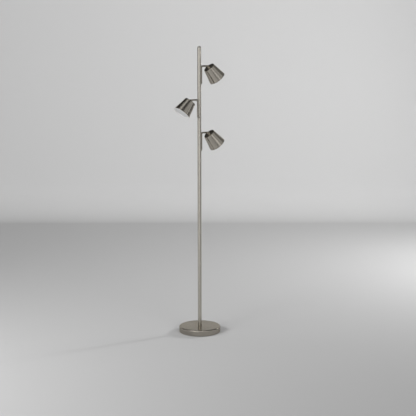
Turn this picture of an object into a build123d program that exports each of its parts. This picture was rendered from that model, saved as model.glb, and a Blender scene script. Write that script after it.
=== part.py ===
from build123d import *
import os, math

# Tree floor lamp: weighted round base, slim pole in three sections, three
# conical spot heads. Each head hangs on a short arm: the arm turns in a bracket
# leg that runs up the side of the pole, and the shade tilts on a knuckle.
# Frame: origin at the centre of the footprint, +Z up, millimetres. The upper
# and lower arms point along +X at rest, the middle arm along -X.

# ---------------------------------------------------------------- dimensions
TOTAL_H = 1500.0        # floor to the top of the domed cap
BASE_R = 109.0          # weighted base, outer radius
BASE_H = 33.0           # floor to the top face of the base
PAD_T = 1.5             # anti-slip pad
COVER_T = 1.2           # spun cover wall
COVER_TOP_R = 7.0       # soft top edge of the cover
COVER_BOT_R = 3.0       # rolled lower edge of the cover
POLE_R = 10.0           # pole, outer radius
POLE_BORE = 9.0         # pole, inner radius
POLE_JOINTS = (481.0, 930.0)   # heights of the two section joints
CAP_R = 10.0            # domed pole cap
NIPPLE_R = 4.95         # threaded tube through the base
NIPPLE_BORE = 3.25
ARM_Z = {"upper": 1397.5, "middle": 1226.5, "lower": 1055.5}
LEG_AZ = {"upper": 14.5, "middle": 210.0, "lower": 14.5}    # where each leg stands round the pole
ARM_AZ = {"upper": 0.0, "middle": 180.0, "lower": 0.0}      # where each arm points at rest
LEG_DIST = 15.0         # leg axis from the pole axis
TUBE_R = 4.5            # leg and arm tube
TUBE_BORE = 3.5
LEG_TOP = -22.0         # swivel seam below the arm axis
LEG_FOOT = -92.5        # axis of the leg's foot where it enters the pole
LEG_BEND = 9.0
ELBOW_BEND = 9.0
TILT_X = 39.5           # leg axis to tilt axis
TILT_REST = 49.5        # shade axis below horizontal at rest
DISC_S = 9.0            # tilt axis to the shade's end disc, along the shade axis
SHADE_L = 76.5          # length of the shade
SHADE_R2 = 30.0         # small end radius
SHADE_R1 = 45.0         # mouth radius
SHADE_T = 1.22          # wall, measured square to the axis
LEAD_R = 1.1            # supply leads in the pole
INLET_Z = 10.0          # height of the cord inlet in the base rim

os.makedirs("parts", exist_ok=True)


# ---------------------------------------------------------------- helpers
def outline(pts):
    """Closed face in the XZ plane from (r, z[, corner radius]) points."""
    n = len(pts)
    P = [Vector(p[0], 0, p[1]) for p in pts]
    R = [(p[2] if len(p) > 2 else 0.0) for p in pts]
    first, last, mid = [], [], []
    for i in range(n):
        a, b, c = P[i - 1], P[i], P[(i + 1) % n]
        if R[i] > 0:
            u, v = (a - b).normalized(), (c - b).normalized()
            half = math.radians(u.get_angle(v)) / 2
            t = R[i] / math.tan(half)
            bis = (u + v).normalized()
            first.append(b + u * t)
            last.append(b + v * t)
            mid.append(b + bis * (R[i] / math.sin(half) - R[i]))
        else:
            first.append(b)
            last.append(b)
            mid.append(None)
    edges = []
    for i in range(n):
        if mid[i] is not None:
            edges.append(Edge.make_three_point_arc(first[i], mid[i], last[i]))
        j = (i + 1) % n
        if (first[j] - last[i]).length > 1e-6:
            edges.append(Edge.make_line(last[i], first[j]))
    return Face(Wire(edges))


def turned(pts):
    return revolve(outline(pts), Axis.Z, 360)


def rod(a, b, r):
    """Solid cylinder from point a to point b."""
    a, b = Vector(*a), Vector(*b)
    d = b - a
    pl = Plane(origin=(a + b) * 0.5, z_dir=d)
    return pl.location * Cylinder(r, d.length)


def tube_path(pts, radii):
    return FilletPolyline(*pts, radius=radii)


def swept(path, r):
    pl = Plane(origin=path @ 0, z_dir=path % 0)
    return sweep(pl * Circle(r), path=path)


def hexagon(af, h, z0):
    return Pos(0, 0, z0 + h / 2) * extrude(RegularPolygon(af / math.sqrt(3), 6), h / 2, both=True)


def save(name, solids):
    if not isinstance(solids, (list, tuple)):
        solids = [solids]
    out = []
    for s in solids:
        out += list(s.solids())
    shape = out[0] if len(out) == 1 else Compound(children=out)
    shape.label = name
    export_step(shape, "parts/%s.step" % name)


# ---------------------------------------------------------------- base
save("base_pad", turned([(0, 0), (103, 0, 0.4), (103, PAD_T, 0.4), (0, PAD_T)]))

screw_at = [(70 * math.cos(math.radians(a)), 70 * math.sin(math.radians(a))) for a in (30, 150, 270)]
csk = turned([(0, PAD_T), (3.9, PAD_T), (3.9, PAD_T + 0.2), (2.0, PAD_T + 1.5), (0, PAD_T + 1.5)])
shank = Pos(0, 0, 6.5) * Cylinder(1.95, 7.0)
hole = Pos(0, 0, 7.5) * Cylinder(2.0, 9.0)
plate = turned([(0, PAD_T), (104, PAD_T, 0.3), (104, PAD_T + 1.5, 0.3), (0, PAD_T + 1.5)])
screws = []
for x, y in screw_at:
    plate -= Pos(x, y, 0) * csk
    socket = Pos(0, 0, PAD_T + 0.5) * extrude(RegularPolygon(1.25, 6), 0.5, both=True)
    screws.append(Pos(x, y, 0) * (csk + shank - socket))
save("base_plate", plate)
save("base_screws", screws)

weight = turned([(0, 3), (104, 3, 1.5), (104, 19, 4), (30, 19, 3), (30, BASE_H - COVER_T, 1), (0, BASE_H - COVER_T)])
weight -= Pos(0, 0, 16) * Cylinder(5.05, 40)
weight -= Pos(0, 0, 9) * Cylinder(16, 12)
weight -= Pos(0, 62, 9.0) * Box(10, 96, 12.0)
for x, y in screw_at:
    weight -= Pos(x, y, 0) * hole
save("base_weight", weight)

cover_out = [(BASE_R - COVER_BOT_R, PAD_T), (BASE_R, PAD_T, COVER_BOT_R), (BASE_R, BASE_H, COVER_TOP_R), (5.05, BASE_H),
             (5.05, BASE_H - COVER_T), (BASE_R - COVER_T, BASE_H - COVER_T, COVER_TOP_R - COVER_T),
             (BASE_R - COVER_T, PAD_T + COVER_T, COVER_BOT_R - COVER_T), (BASE_R - COVER_BOT_R, PAD_T + COVER_T)]
cover = turned(cover_out)
cover -= rod((0, 100, INLET_Z), (0, 115, INLET_Z), 4.5)
save("base_cover", cover)

bush = rod((0, 104.8, INLET_Z), (0, 111.2, INLET_Z), 4.5)
flange = rod((0, 104, INLET_Z), (0, 111.2, INLET_Z), 6.5)
flange = fillet(flange.edges().sort_by(Axis.Y)[-1], 0.8)
flange -= Pos(0, 0, 10) * Cylinder(BASE_R, 40)
bush = bush + flange - rod((0, 100, INLET_Z), (0, 115, INLET_Z), 3.1)
save("cord_bush", bush)

save("pole_nipple", turned([(NIPPLE_BORE, 6, 0.3), (NIPPLE_R, 6, 0.5), (NIPPLE_R, 56, 0.5), (NIPPLE_BORE, 56, 0.3)]))
save("nipple_washer", turned([(5.05, 13.5), (12, 13.5, 0.3), (12, 15, 0.3), (5.05, 15)]))
nut = hexagon(17, 6.0, 7.5) - Pos(0, 0, 10.5) * Cylinder(5.0, 10)
nut = nut & turned([(0, 7.5), (8.9, 7.5), (9.9, 8.2), (9.9, 12.8), (8.9, 13.5), (0, 13.5)])
save("nipple_nut", nut)

# ---------------------------------------------------------------- pole
top = TOTAL_H - CAP_R
j1, j2 = POLE_JOINTS


def leg_path(kind):
    return tube_path([(5.5, 0, LEG_FOOT), (LEG_DIST, 0, LEG_FOOT), (LEG_DIST, 0, LEG_TOP)], LEG_BEND)


leg_outer, leg_inner = {}, {}
for k in ARM_Z:
    leg_outer[k] = swept(leg_path(k), TUBE_R)
    leg_inner[k] = swept(leg_path(k), TUBE_BORE)


def at_leg(k, s):
    return Pos(0, 0, ARM_Z[k]) * (Rot(0, 0, LEG_AZ[k]) * s)


save("pole_foot_insert", turned([(5.0, BASE_H, 0.3), (POLE_BORE, BASE_H), (POLE_BORE, BASE_H + 26, 0.5), (5.0, BASE_H + 26, 0.3)]))


def pole_tube(z0, z1):
    return turned([(POLE_BORE, z0), (POLE_R, z0, 0.25), (POLE_R, z1, 0.25), (POLE_BORE, z1)])


save("pole_lower", pole_tube(BASE_H, j1))
save("pole_middle", pole_tube(j1, j2))
upper = pole_tube(j2, top)
for k in ARM_Z:
    upper -= at_leg(k, leg_outer[k])
save("pole_upper", upper)
couplers = [turned([(6.5, j - 22, 0.3), (POLE_BORE, j - 22, 0.5), (POLE_BORE, j), (POLE_BORE - 0.05, j),
                    (POLE_BORE - 0.05, j + 22, 0.8), (6.5, j + 22, 0.3)]) for j in POLE_JOINTS]
save("pole_couplers", couplers)
save("pole_cap", turned([(0, top - 12), (POLE_BORE, top - 12, 0.8), (POLE_BORE, top), (POLE_R, top),
                         (POLE_R, TOTAL_H, CAP_R - 0.02), (0, TOTAL_H)]))

# supply leads: up the pole, out through each leg's foot and up the leg
lead_az = {"upper": 112.0, "middle": 210.0, "lower": 14.5}
leads = []
for k in ARM_Z:
    a, f = math.radians(lead_az[k]), math.radians(LEG_AZ[k])
    x0, y0 = 1.8 * math.cos(a), 1.8 * math.sin(a)
    x1, y1 = LEG_DIST * math.cos(f), LEG_DIST * math.sin(f)
    zf = ARM_Z[k] + LEG_FOOT
    p = tube_path([(x0, y0, 7.0), (x0, y0, zf), (x1, y1, zf), (x1, y1, ARM_Z[k] - 49)], 6.2)
    leads.append(swept(p, LEAD_R))
save("supply_leads", leads)

# ---------------------------------------------------------------- bracket legs and arms
for k in ARM_Z:
    web = Pos((LEG_DIST + 8) / 2, 0, (LEG_FOOT + 14 + LEG_TOP - 6) / 2) * Box(LEG_DIST - 8, 3.0, LEG_TOP - 6 - LEG_FOOT - 14)
    web -= Cylinder(POLE_R, 400)
    leg = leg_outer[k] + web - leg_inner[k]
    save("leg_%s" % k, at_leg(k, leg))

    # swivel bush with its flange between leg and elbow
    z = LEG_TOP
    sb = turned([(2.55, z - 22, 0.2), (TUBE_BORE, z - 22, 0.3), (TUBE_BORE, z), (TUBE_R, z, 0.15), (TUBE_R, z + 0.5, 0.15), (2.55, z + 0.5)])
    save("swivel_bush_%s" % k, at_leg(k, Pos(LEG_DIST, 0, 0) * sb))

    f = math.radians(LEG_AZ[k])
    arm_loc = Pos(LEG_DIST * math.cos(f), LEG_DIST * math.sin(f), ARM_Z[k]) * Rot(0, 0, ARM_AZ[k])
    z0 = LEG_TOP + 0.5
    spigot = turned([(1.6, z - 26.5, 0.3), (3.2, z - 26.5, 0.5), (3.2, z - 22.1, 0.3), (2.5, z - 22.1), (2.5, z0), (TUBE_BORE, z0),
                     (TUBE_BORE, -13, 0.4), (1.6, -13, 0.3)])
    save("swivel_spigot_%s" % k, arm_loc * spigot)

    x_end = TILT_X - 7.5
    arm_p = tube_path([(0, 0, z0), (0, 0, 0), (x_end, 0, 0)], ELBOW_BEND)
    save("arm_%s" % k, arm_loc * (swept(arm_p, TUBE_R) - swept(arm_p, TUBE_BORE)))

    # knuckle tongue: plug in the arm, collar, flat eye
    plug = Rot(0, 90, 0) * turned([(0, x_end - 9, 0), (TUBE_BORE, x_end - 9, 0.5), (TUBE_BORE, x_end), (TUBE_R, x_end, 0.2),
                                   (TUBE_R, x_end + 1.5, 0.4), (0, x_end + 1.5)])
    eye = Pos((x_end + 1 + TILT_X) / 2, 0, 0) * Box(TILT_X - x_end - 1, 3.6, 2 * TUBE_R - 0.6)
    eye += Pos(TILT_X, 0, 0) * (Rot(90, 0, 0) * Cylinder(TUBE_R - 0.3, 3.6))
    tongue = plug + eye - Pos(TILT_X, 0, 0) * (Rot(90, 0, 0) * Cylinder(1.55, 10))
    save("knuckle_tongue_%s" % k, arm_loc * tongue)

    # ------------------------------------------------------------ head, in a frame at the tilt axis
    # local z = shade axis, local y = tilt axis
    th, ta = math.radians(ARM_AZ[k]), math.radians(TILT_REST)
    d = Vector(math.cos(th), math.sin(th), 0)
    lat = Vector(-math.sin(th), math.cos(th), 0)
    ax = d * math.cos(ta) - Vector(0, 0, 1) * math.sin(ta)
    piv = Vector(LEG_DIST * math.cos(f), LEG_DIST * math.sin(f), ARM_Z[k]) + d * TILT_X
    head_loc = Plane(origin=piv, x_dir=lat.cross(ax), z_dir=ax).location
    S0, S1 = DISC_S, DISC_S + SHADE_L

    def r_in(s):
        return SHADE_R2 + (s - S0) * (SHADE_R1 - SHADE_R2) / SHADE_L - SHADE_T

    shade = turned([(3.0, S0), (SHADE_R2, S0, 1.2), (SHADE_R1, S1, 0.4), (r_in(S1), S1, 0.3), (r_in(S0 + 1.5), S0 + 1.5, 0.6), (3.0, S0 + 1.5)])
    save("shade_%s" % k, head_loc * shade)

    base_c = turned([(0, 5.0), (6.6, 5.0, 0.7), (6.6, S0, 0.0), (3.0, S0), (3.0, S0 + 1.5), (4.6, S0 + 1.5, 0.5), (4.6, S0 + 3.2, 0.9), (0, S0 + 3.2)])
    ears = []
    for sgn in (-1, 1):
        e = Pos(0, sgn * 3.35, 2.9) * Box(9.0, 2.5, 5.8)
        e += Pos(0, sgn * 3.35, 0) * (Rot(90, 0, 0) * Cylinder(4.5, 2.5))
        ears.append(e)
    clevis = base_c + ears[0] + ears[1]
    clevis -= Rot(90, 0, 0) * Cylinder(1.5, 20)
    save("clevis_%s" % k, head_loc * clevis)

    washers = [Rot(-90, 0, 0) * turned([(1.6, y0), (4.0, y0), (4.0, y0 + 0.3), (1.6, y0 + 0.3)]) for y0 in (1.8, -2.1)]
    save("friction_washers_%s" % k, [head_loc * w for w in washers])

    sc = turned([(0, -6.9), (3.0, -6.9, 0.7), (3.0, -4.6), (1.5, -4.6), (1.5, 7.4, 0.3), (0, 7.4)])
    sc -= Pos(0, 0, -6.6) * extrude(RegularPolygon(1.45, 6), 0.9, both=True)
    save("tilt_screw_%s" % k, head_loc * (Rot(-90, 0, 0) * sc))
    tn = hexagon(5.5, 2.4, 4.6) - Pos(0, 0, 6) * Cylinder(1.5, 8)
    tn = tn & turned([(0, 4.6), (3.2, 4.6), (3.2, 6.7), (2.85, 7.0), (0, 7.0)])
    save("tilt_nut_%s" % k, head_loc * (Rot(-90, 0, 0) * tn))

    # heat sink: plate with a hub and eight fins, its rim seats in the cone
    g = 0.03
    sink = turned([(0, 44, 0), (11, 44, 1.0), (11, 60), (r_in(60) - g, 60), (r_in(63.5) - g, 63.5), (0, 63.5)])
    for i in range(8):
        fin = Pos(19.5, 0, 53.5) * Box(23, 1.6, 13)
        sink += Rot(0, 0, i * 45 + 22.5) * fin
    save("heat_sink_%s" % k, head_loc * sink)

    board = turned([(0, 63.5), (30, 63.5), (30, 65.1), (0, 65.1)])
    for rr, nn in ((10, 6), (21, 12)):
        for i in range(nn):
            board += Rot(0, 0, i * 360 / nn) * (Pos(rr, 0, 65.4) * Box(2.8, 2.8, 0.8))
    save("led_board_%s" % k, head_loc * board)

    save("lens_%s" % k, head_loc * turned([(0, 80.6), (41.2, 80.6, 0.3), (41.2, 83.0, 0.3), (0, 83.0)]))
    save("bezel_%s" % k, head_loc * turned([(41.25, 78.5), (r_in(78.5) - g, 78.5), (r_in(85.3) - g, 85.3, 0.3), (39.5, 85.3, 0.9),
                                            (39.5, 83.0), (41.25, 83.0)]))

print("done")
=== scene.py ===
import bpy, bmesh, math
from mathutils import Vector, Matrix

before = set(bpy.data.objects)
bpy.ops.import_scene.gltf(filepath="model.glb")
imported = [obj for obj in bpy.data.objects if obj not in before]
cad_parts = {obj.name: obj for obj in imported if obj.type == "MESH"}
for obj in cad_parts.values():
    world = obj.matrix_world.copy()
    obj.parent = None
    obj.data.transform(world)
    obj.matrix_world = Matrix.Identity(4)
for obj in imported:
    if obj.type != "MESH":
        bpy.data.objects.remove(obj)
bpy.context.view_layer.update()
sc = bpy.context.scene

# ------------------------------------------------------------------ the view
# Picture axes in the row frame: R to the right, F away from the viewer, Z up.
AZ = math.radians(30.5)
R = Vector((math.cos(AZ), -math.sin(AZ), 0))
F = Vector((math.sin(AZ), math.cos(AZ), 0))
Z = Vector((0, 0, 1))


def W(x, y, z):
    """Point given right of, behind and above the lamp's foot."""
    return R * x + F * y + Z * z


PITCH = math.radians(9.17)
cam = bpy.data.cameras.new("view")
cam.sensor_width = 36.0
cam.lens = 36.0 * 1100.0 / 416.0
cam.clip_start, cam.clip_end = 0.1, 60.0
eye = bpy.data.objects.new("view", cam)
sc.collection.objects.link(eye)
d = F * math.cos(PITCH) - Z * math.sin(PITCH)
up = F * math.sin(PITCH) + Z * math.cos(PITCH)
at = W(0.0441, -5.6656, 1.5779)
ROLL = 0.00106
side, up = R - up * ROLL, up + R * ROLL
eye.matrix_world = Matrix(((side.x, up.x, -d.x, at.x), (side.y, up.y, -d.y, at.y), (side.z, up.z, -d.z, at.z), (0, 0, 0, 1)))
sc.camera = eye
sc.view_settings.view_transform = "Standard"
sc.view_settings.look = "None"


# ------------------------------------------------------------------ node helpers
class Nodes:
    """Small helper that builds a material's node tree."""

    def __init__(self, name):
        self.mat = bpy.data.materials.new(name)
        self.mat.use_nodes = True
        self.t = self.mat.node_tree
        self.t.nodes.clear()
        self.out = self.t.nodes.new("ShaderNodeOutputMaterial")
        self.p = self.t.nodes.new("ShaderNodeBsdfPrincipled")
        self.t.links.new(self.p.outputs["BSDF"], self.out.inputs["Surface"])

    def put(self, socket, value):
        if isinstance(value, bpy.types.NodeSocket):
            self.t.links.new(value, socket)
        elif isinstance(value, (tuple, list, Vector)):
            socket.default_value = tuple(value) if len(value) == len(socket.default_value) else tuple(value) + (1.0,)
        else:
            socket.default_value = value

    def math(self, op, a, b=None, c=None, clamp=False):
        n = self.t.nodes.new("ShaderNodeMath")
        n.operation = op
        n.use_clamp = clamp
        self.put(n.inputs[0], a)
        if b is not None:
            self.put(n.inputs[1], b)
        if c is not None:
            self.put(n.inputs[2], c)
        return n.outputs[0]

    def vec(self, op, a, b=None, scale=None):
        n = self.t.nodes.new("ShaderNodeVectorMath")
        n.operation = op
        self.put(n.inputs[0], a)
        if b is not None:
            self.put(n.inputs[1], b)
        if scale is not None:
            self.put(n.inputs["Scale"], scale)
        return n.outputs["Value"] if op in ("LENGTH", "DOT_PRODUCT", "DISTANCE") else n.outputs["Vector"]

    def xyz(self, x, y, z):
        n = self.t.nodes.new("ShaderNodeCombineXYZ")
        for i, v in enumerate((x, y, z)):
            self.put(n.inputs[i], v)
        return n.outputs[0]

    def split(self, v):
        n = self.t.nodes.new("ShaderNodeSeparateXYZ")
        self.put(n.inputs[0], v)
        return n.outputs

    def noise(self, vector, scale, detail=3.0, rough=0.55, distort=0.0):
        n = self.t.nodes.new("ShaderNodeTexNoise")
        self.put(n.inputs["Vector"], vector)
        n.inputs["Scale"].default_value = scale
        n.inputs["Detail"].default_value = detail
        n.inputs["Roughness"].default_value = rough
        n.inputs["Distortion"].default_value = distort
        return n.outputs["Fac"]

    def span(self, v, a, b, lo, hi, smooth=False):
        n = self.t.nodes.new("ShaderNodeMapRange")
        n.interpolation_type = "SMOOTHSTEP" if smooth else "LINEAR"
        n.clamp = True
        for i, x in enumerate((v, a, b, lo, hi)):
            self.put(n.inputs[i], x)
        return n.outputs[0]

    def mix(self, fac, a, b):
        n = self.t.nodes.new("ShaderNodeMix")
        n.data_type = "RGBA"
        self.put(n.inputs[0], fac)
        self.put(n.inputs[6], a)
        self.put(n.inputs[7], b)
        return n.outputs[2]

    def bump(self, height, strength, distance, normal=None):
        n = self.t.nodes.new("ShaderNodeBump")
        n.inputs["Strength"].default_value = strength
        n.inputs["Distance"].default_value = distance
        self.put(n.inputs["Height"], height)
        if normal is not None:
            self.put(n.inputs["Normal"], normal)
        return n.outputs[0]

    def obj(self):
        return self.t.nodes.new("ShaderNodeTexCoord").outputs["Object"]

    def set(self, **kw):
        for k, v in kw.items():
            self.put(self.p.inputs[k.replace("_", " ")], v)
        return self


# ------------------------------------------------------------------ materials
NICKEL = (0.565, 0.525, 0.460)


def turned_nickel(name, origin, axis, rough=0.27, aniso=0.55, tone_with_painted_dim=(1.0, 1.0, 1.0), edges=(), grain=1.0, graze=1.0):
    """Satin nickel, finished on a lathe about an axis: fine rings of brushing, faint
    handling marks, a little more polish where an edge rubs. Metres, row frame."""
    n = Nodes(name)
    p = n.vec("SUBTRACT", n.obj(), tuple(origin))
    ax = Vector(axis).normalized()
    s = n.vec("DOT_PRODUCT", p, tuple(ax))
    along = n.vec("SCALE", tuple(ax), scale=s)
    rad = n.vec("SUBTRACT", p, along)
    r = n.vec("LENGTH", rad)
    unit = n.vec("NORMALIZE", rad)
    # rings: quick along the meridian, slow around the turn
    line = n.math("ADD", s, r)
    ring = n.vec("ADD", n.vec("SCALE", unit, scale=0.010), n.vec("SCALE", tuple(ax), scale=line))
    fine = n.noise(ring, 5200.0, 2.0, 0.6)
    mid = n.noise(ring, 900.0, 3.0, 0.6)
    broad = n.noise(n.obj(), 16.0, 4.0, 0.55, 0.4)
    smear = n.noise(n.obj(), 55.0, 3.0, 0.6, 0.8)
    lum = n.math("ADD", n.math("MULTIPLY", n.math("SUBTRACT", mid, 0.5), 0.10 * grain), n.math("MULTIPLY", n.math("SUBTRACT", broad, 0.5), 0.05 * grain))
    lum = n.math("ADD", lum, 0.5)
    # the tone scales the nickel colour: a hue tint on the pole, and on the base and shades a painted darkening that
    # stands in for their dimmer reflections
    tint_with_painted_dim = [c * t for c, t in zip(NICKEL, tone_with_painted_dim)]
    lo = tuple(c * 0.86 for c in tint_with_painted_dim)
    hi = tuple(min(1.0, c * 1.12) for c in tint_with_painted_dim)
    col = n.mix(n.span(lum, 0.30, 0.70, 0.0, 1.0), lo, hi)
    rg = n.math("ADD", n.math("MULTIPLY", n.math("SUBTRACT", mid, 0.5), 0.12 * grain), n.math("MULTIPLY", n.math("SUBTRACT", smear, 0.5), 0.06 * grain))
    rg = n.math("ADD", rg, rough)
    for v, coord, width in edges:
        near = n.math("ABSOLUTE", n.math("SUBTRACT", s if coord == "s" else r, v))
        rub = n.span(near, 0.0, width, 1.0, 0.0, True)
        rg = n.math("SUBTRACT", rg, n.math("MULTIPLY", rub, 0.07))
        col = n.mix(n.math("MULTIPLY", rub, 0.35), col, tuple(min(1.0, c * 1.22) for c in tint_with_painted_dim))
    n.set(Base_Color=col, Metallic=1.0, Roughness=n.math("MAXIMUM", rg, 0.08), Anisotropic=aniso, Specular_Tint=(graze, graze * 0.97, graze * 0.91))
    n.set(Normal=n.bump(n.math("ADD", fine, n.math("MULTIPLY", mid, 0.6)), 0.10 * grain, 0.00004))
    # the highlight stretches along the meridian, square to the rings
    tr = n.t.nodes.new("ShaderNodeVectorTransform")
    tr.vector_type, tr.convert_from, tr.convert_to = "VECTOR", "OBJECT", "WORLD"
    n.put(tr.inputs[0], n.vec("CROSS_PRODUCT", tuple(ax), unit))
    geo = n.t.nodes.new("ShaderNodeNewGeometry")
    n.put(n.p.inputs["Tangent"], n.vec("NORMALIZE", n.vec("CROSS_PRODUCT", tr.outputs[0], geo.outputs["Normal"])))
    return n.mat


def satin_metal(name, color, rough=0.3, scale=1.0, vary=0.08, bump=0.08):
    n = Nodes(name)
    o = n.obj()
    fine = n.noise(o, 2600.0 * scale, 2.0, 0.6)
    broad = n.noise(o, 60.0 * scale, 4.0, 0.6, 0.5)
    col = n.mix(n.span(broad, 0.35, 0.65, 0.0, 1.0), tuple(c * (1 - vary) for c in color), tuple(min(1, c * (1 + vary)) for c in color))
    rg = n.math("ADD", rough, n.math("MULTIPLY", n.math("SUBTRACT", fine, 0.5), 0.12))
    rg = n.math("ADD", rg, n.math("MULTIPLY", n.math("SUBTRACT", broad, 0.5), 0.12))
    n.set(Base_Color=col, Metallic=1.0, Roughness=rg)
    n.set(Normal=n.bump(fine, bump, 0.00005))
    return n.mat


def plastic(name, color, rough=0.4, bump=0.05, scale=900.0, vary=0.04, sss=0.0):
    n = Nodes(name)
    o = n.obj()
    fine = n.noise(o, scale, 3.0, 0.6)
    broad = n.noise(o, 30.0, 3.0, 0.5)
    col = n.mix(n.span(broad, 0.3, 0.7, 0.0, 1.0), tuple(c * (1 - vary) for c in color), tuple(min(1, c * (1 + vary)) for c in color))
    n.set(Base_Color=col, Roughness=n.math("ADD", rough, n.math("MULTIPLY", n.math("SUBTRACT", fine, 0.5), 0.12)))
    n.set(Normal=n.bump(fine, bump, 0.0001))
    if sss:
        n.p.inputs["Subsurface Weight"].default_value = sss
        n.p.inputs["Subsurface Radius"].default_value = (0.004, 0.004, 0.0038)
        n.p.inputs["Subsurface Scale"].default_value = 1.0
    return n.mat


# ------------------------------------------------------------------ geometry facts, repeated from the CAD (metres)
ARM_Z = {"upper": 1.3975, "middle": 1.2265, "lower": 1.0555}
LEG_AZ = {"upper": 14.5, "middle": 210.0, "lower": 14.5}
ARM_AZ = {"upper": 0.0, "middle": 180.0, "lower": 0.0}
TILT = math.radians(49.5)
LEG_DIST, TILT_X, S0, SHADE_L = 0.015, 0.0395, 0.009, 0.0765

head = {}
for k in ARM_Z:
    f, th = math.radians(LEG_AZ[k]), math.radians(ARM_AZ[k])
    dr = Vector((math.cos(th), math.sin(th), 0))
    ax = dr * math.cos(TILT) - Z * math.sin(TILT)
    piv = Vector((LEG_DIST * math.cos(f), LEG_DIST * math.sin(f), ARM_Z[k])) + dr * TILT_X
    head[k] = (piv, ax)

mats = {
    "pole": turned_nickel("nickel_pole", (0, 0, 0), (0, 0, 1), 0.26, 0.6, (0.93, 0.95, 0.97), grain=0.45),
    # base cover: the nickel colour is scaled to 0.70, a painted shade that stands in for the dimmer reflection on
    # the base; its rim gets the rubbed polish
    "base": turned_nickel("nickel_base_painted_dim", (0, 0, 0), (0, 0, 1), 0.22, 0.55, (0.70, 0.70, 0.70), edges=((0.1065, "r", 0.004),), grain=0.9, graze=0.76),
    # arms and legs: nickel darkened to about 0.62 of the pole's colour, a painted shade standing in for the shade in
    # the crevice between leg and pole and the dark reflections on the arms
    "tube": satin_metal("nickel_tube_painted_dark", (0.35, 0.325, 0.285), 0.25, 0.8, 0.06, 0.04),
    "fork": satin_metal("nickel_fork", (0.48, 0.445, 0.39), 0.26, 1.5),
    "screw": satin_metal("nickel_screw", (0.47, 0.445, 0.40), 0.24, 2.0),
    "zinc": satin_metal("zinc_plate", (0.60, 0.61, 0.63), 0.36, 1.0, 0.14, 0.15),
    "brass": satin_metal("turned_brass", (0.72, 0.55, 0.27), 0.26, 1.0),
    "alu": satin_metal("cast_alu", (0.66, 0.67, 0.68), 0.45, 0.6, 0.08, 0.3),
    "nylon": plastic("black_nylon", (0.025, 0.025, 0.026), 0.45, 0.1),
    "pad": plastic("foam_pad", (0.035, 0.035, 0.037), 0.9, 0.5, 1500.0, 0.15),
    "board": plastic("white_board", (0.84, 0.85, 0.83), 0.35, 0.02),
    "lens": plastic("opal_lens", (0.56, 0.56, 0.56), 0.42, 0.06, 1800.0, 0.01, 0.35),
    "bezel": plastic("white_bezel", (0.80, 0.80, 0.795), 0.30, 0.03, 1500.0, 0.01),
    "lead": plastic("lead_pvc", (0.76, 0.76, 0.74), 0.45, 0.03),
}
iron = Nodes("cast_iron_weight")
o = iron.obj()
grit = iron.noise(o, 420.0, 4.0, 0.65)
iron.set(Base_Color=iron.mix(iron.span(grit, 0.35, 0.65, 0.0, 1.0), (0.03, 0.03, 0.032), (0.065, 0.063, 0.06)), Metallic=0.6,
         Roughness=iron.math("ADD", 0.55, iron.math("MULTIPLY", grit, 0.2)), Normal=iron.bump(grit, 0.6, 0.0006))
mats["iron"] = iron.mat
for k, (piv, ax) in head.items():
    # shades: the nickel colour is scaled to 0.78, a painted shade that dims their reflections
    mats["shade_" + k] = turned_nickel("nickel_shade_painted_dim_" + k, piv, ax, 0.19, 0.6, (0.78, 0.78, 0.78),
                                       edges=((S0, "s", 0.0022), (S0 + SHADE_L, "s", 0.0016)), grain=0.8, graze=0.9)


def kind_of(node):
    if node in ("pole_lower", "pole_middle", "pole_upper", "pole_cap"):
        return "pole"
    if node == "base_cover":
        return "base"
    if node.startswith("shade_"):
        return node
    if node.startswith(("leg_", "arm_")):
        return "tube"
    if node.startswith(("clevis", "knuckle")):
        return "fork"
    if node.startswith("tilt_"):
        return "screw"
    if node.startswith("swivel_spigot"):
        return "brass"
    if node.startswith(("swivel_bush", "friction", "cord_bush")):
        return "nylon"
    if node.startswith("heat_sink"):
        return "alu"
    for key, m in (("led_board", "board"), ("lens", "lens"), ("bezel", "bezel"), ("supply", "lead"), ("base_pad", "pad"), ("base_weight", "iron")):
        if node.startswith(key):
            return m
    return "zinc"


for name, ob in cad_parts.items():
    ob.data.materials.clear()
    ob.data.materials.append(mats[kind_of(name)])

# ------------------------------------------------------------------ stage: one pale sweep
WALL_Y, COVE = 3.6, 0.3
prof = [(-9.0, 0.0), (WALL_Y - COVE, 0.0)]
prof += [(WALL_Y - COVE + COVE * math.sin(a), COVE - COVE * math.cos(a)) for a in [math.pi / 2 * i / 24 for i in range(1, 25)]]
prof += [(WALL_Y, 3.1)]
vs, fs = [], []
for y, z in prof:
    vs += [tuple(W(-9, y, z)), tuple(W(9, y, z))]
for i in range(len(prof) - 1):
    fs.append((2 * i, 2 * i + 1, 2 * i + 3, 2 * i + 2))
me = bpy.data.meshes.new("sweep")
me.from_pydata(vs, [], fs)
for q in me.polygons:
    q.use_smooth = True
stage = bpy.data.objects.new("sweep", me)
sc.collection.objects.link(stage)
sm = Nodes("pale_sweep")
sm.set(Base_Color=(0.60, 0.60, 0.60), Roughness=0.9)
sm.p.inputs["Specular IOR Level"].default_value = 0.0
# one-sided: seen from behind or below, the sweep lets the lamp show
open_back = sm.t.nodes.new("ShaderNodeMixShader")
sm.t.links.new(sm.t.nodes.new("ShaderNodeNewGeometry").outputs["Backfacing"], open_back.inputs[0])
sm.t.links.new(sm.p.outputs[0], open_back.inputs[1])
sm.t.links.new(sm.t.nodes.new("ShaderNodeBsdfTransparent").outputs[0], open_back.inputs[2])
sm.t.links.new(open_back.outputs[0], sm.out.inputs["Surface"])
me.materials.append(sm.mat)


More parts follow.
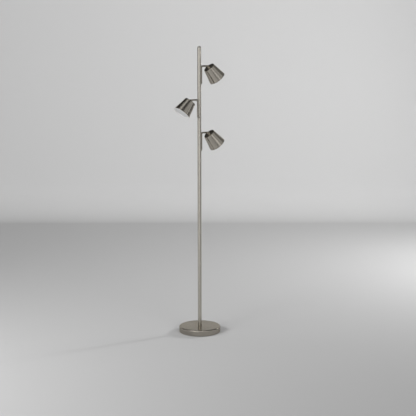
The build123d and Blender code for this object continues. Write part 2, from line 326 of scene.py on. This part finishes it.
def glow(name, me, bright):
    """A stage piece that only shines: it throws no shadow and lights no surface by itself."""
    ob = bpy.data.objects.new(name, me)
    sc.collection.objects.link(ob)
    m = bpy.data.materials.new(name)
    m.use_nodes = True
    t = m.node_tree
    t.nodes.clear()
    em, out = t.nodes.new("ShaderNodeEmission"), t.nodes.new("ShaderNodeOutputMaterial")
    em.inputs["Strength"].default_value = bright
    t.links.new(em.outputs[0], out.inputs[0])
    m.cycles.emission_sampling = "NONE"
    me.materials.append(m)
    ob.visible_diffuse = ob.visible_shadow = False
    ob.visible_transmission = ob.visible_volume_scatter = False
    return ob


# pale surround beyond the sweep, for the camera alone
bm = bmesh.new()
bmesh.ops.create_uvsphere(bm, u_segments=48, v_segments=24, radius=26.0)
me = bpy.data.meshes.new("surround")
bm.to_mesh(me)
bm.free()
surround = glow("surround", me, 0.55)
surround.visible_glossy = False


# ------------------------------------------------------------------ light
def area(name, pos, target, sx, sy, watts, color=(1, 1, 1)):
    L = bpy.data.lights.new(name, "AREA")
    L.shape = "RECTANGLE"
    L.size, L.size_y, L.energy, L.color = sx, sy, watts, color
    ob = bpy.data.objects.new(name, L)
    sc.collection.objects.link(ob)
    ob.location = W(*pos)
    ob.rotation_euler = (W(*target) - W(*pos)).to_track_quat("-Z", "Y").to_euler()
    ob.visible_camera = False
    ob.visible_glossy = False
    return ob


LIGHTS = (
    ("rear_right", (2.9, 1.67, 1.5), (0, 0, 0.2), 0.14, 0.14, 46.3),
    ("wall_mid", (0, 0.58, 3.4), (0, 3.6, 1), 3, 0.8, 23.1),
    ("wall_right", (3.2, 1.38, 2.4), (1.5, 3.6, 1.2), 1, 1, 19.3),
    ("far_left", (-7, -12, 5.5), (0, 0, 0.7), 5, 5, 329.4),
    ("far_right", (7, -12, 5.5), (0, 0, 0.7), 5, 5, 742.9),
    ("left_high", (-3, -3, 2.3), (0, 0, 0.2), 1.2, 1.2, 58.0),
    ("low_floor", (-2.4, -0.9, 1.5), (-1.2, -0.9, 0), 0.8, 0.8, 20.1),
    ("left_mid", (-3, -4, 2.6), (0, 0, 0.2), 1.2, 1.2, 32.9),
    ("far_left_low", (-10, -10, 3), (0, 0, 0.5), 4, 4, 306.2),
)
for row in LIGHTS:
    area(*row)
# Soft boxes that only the metal sees: bearing from straight behind, clockwise, elevation,
# width, height, distance, brightness. They don't light the sweep.
HUB = (0, 0, 1.0)


def softbox(name, az, el, w, h, dist, bright):
    a, e = math.radians(az), math.radians(el)
    pos = W(dist * math.cos(e) * math.sin(a), dist * math.cos(e) * math.cos(a), HUB[2] + dist * math.sin(e))
    n = (W(*HUB) - pos).normalized()
    sx = Z.cross(n).normalized()
    sy = n.cross(sx)
    me = bpy.data.meshes.new(name)
    me.from_pydata([tuple(pos + sx * (w / 2 * i) + sy * (h / 2 * j)) for i, j in ((-1, -1), (1, -1), (1, 1), (-1, 1))], [], [(0, 1, 2, 3)])
    ob = glow(name, me, bright)
    ob.visible_camera = False
    return ob


SOFTBOXES = (
    (96, 0, 0.95, 1.9, 4.4, 0.78),
    (108, 0, 0.95, 1.9, 4.4, 0.27),
    (132, 0, 0.95, 1.9, 4.4, 0.79),
    (144, 0, 0.95, 1.9, 4.4, 1.00),
    (156, 0, 0.95, 1.9, 4.4, 0.53),
    (168, 0, 0.95, 1.9, 4.4, 0.27),
    (180, 0, 0.95, 1.9, 4.4, 1.10),
    (192, 0, 0.95, 1.9, 4.4, 1.95),
    (204, 0, 0.95, 1.9, 4.4, 1.64),
    (216, 0, 0.95, 1.9, 4.4, 1.38),
    (228, 0, 0.95, 1.9, 4.4, 0.63),
    (240, 0, 0.95, 1.9, 4.4, 0.17),
    (264, 0, 0.95, 1.9, 4.4, 0.60),
    (276, 0, 0.95, 1.9, 4.4, 0.32),
    (288, 0, 0.95, 1.9, 4.4, 0.38),
    (300, 0, 0.95, 1.9, 4.4, 0.52),
    (84, 28, 1.15, 2.1, 3.9, 0.18),
    (100, 28, 1.15, 2.1, 3.9, 0.50),
    (116, 28, 1.15, 2.1, 3.9, 0.54),
    (132, 28, 1.15, 2.1, 3.9, 0.44),
    (148, 28, 1.15, 2.1, 3.9, 0.41),
    (164, 28, 1.15, 2.1, 3.9, 1.78),
    (180, 28, 1.15, 2.1, 3.9, 0.58),
    (196, 28, 1.15, 2.1, 3.9, 0.62),
    (212, 28, 1.15, 2.1, 3.9, 0.88),
    (226, 28, 1.15, 2.1, 3.9, 0.42),
    (240, 28, 1.15, 2.1, 3.9, 0.96),
    (256, 28, 1.15, 2.1, 3.9, 0.77),
    (276, 28, 1.15, 2.1, 3.9, 0.65),
    (240, 54, 1.7, 1.9, 4, 1.95),
    (200, 54, 1.7, 1.9, 4, 0.45),
    (-150, 74, 1.6, 1.6, 4.5, 0.71),
    (120, 74, 1.6, 1.6, 4.5, 0.89),
    (60, 8.5, 0.3, 0.3, 3.39, 0.38),
    (225, 26, 0.35, 0.35, 4.2, 4.55),
    (66, 0, 0.95, 1.9, 4.4, 0.20),
    (60, 28, 1.15, 2.1, 3.9, 0.35),
    (0, 64, 3, 3, 4.2, 0.20),
    (225, 27, 0.55, 0.55, 4.2, 7.00),
    (60, 8.5, 0.45, 0.45, 3.39, 11.00),
)
for i, row in enumerate(SOFTBOXES):
    softbox("softbox_%02d" % i, *row)
# dim room round the soft boxes, for the metal alone
AMBIENT = 0.053
world = bpy.data.worlds.new("studio")
sc.world = world
world.use_nodes = True
world.node_tree.nodes["Background"].inputs[0].default_value = (1, 1, 1, 1)
world.node_tree.nodes["Background"].inputs[1].default_value = AMBIENT
world.cycles.sampling_method = "NONE"
vis = world.cycles_visibility
vis.camera = vis.diffuse = vis.transmission = vis.scatter = False
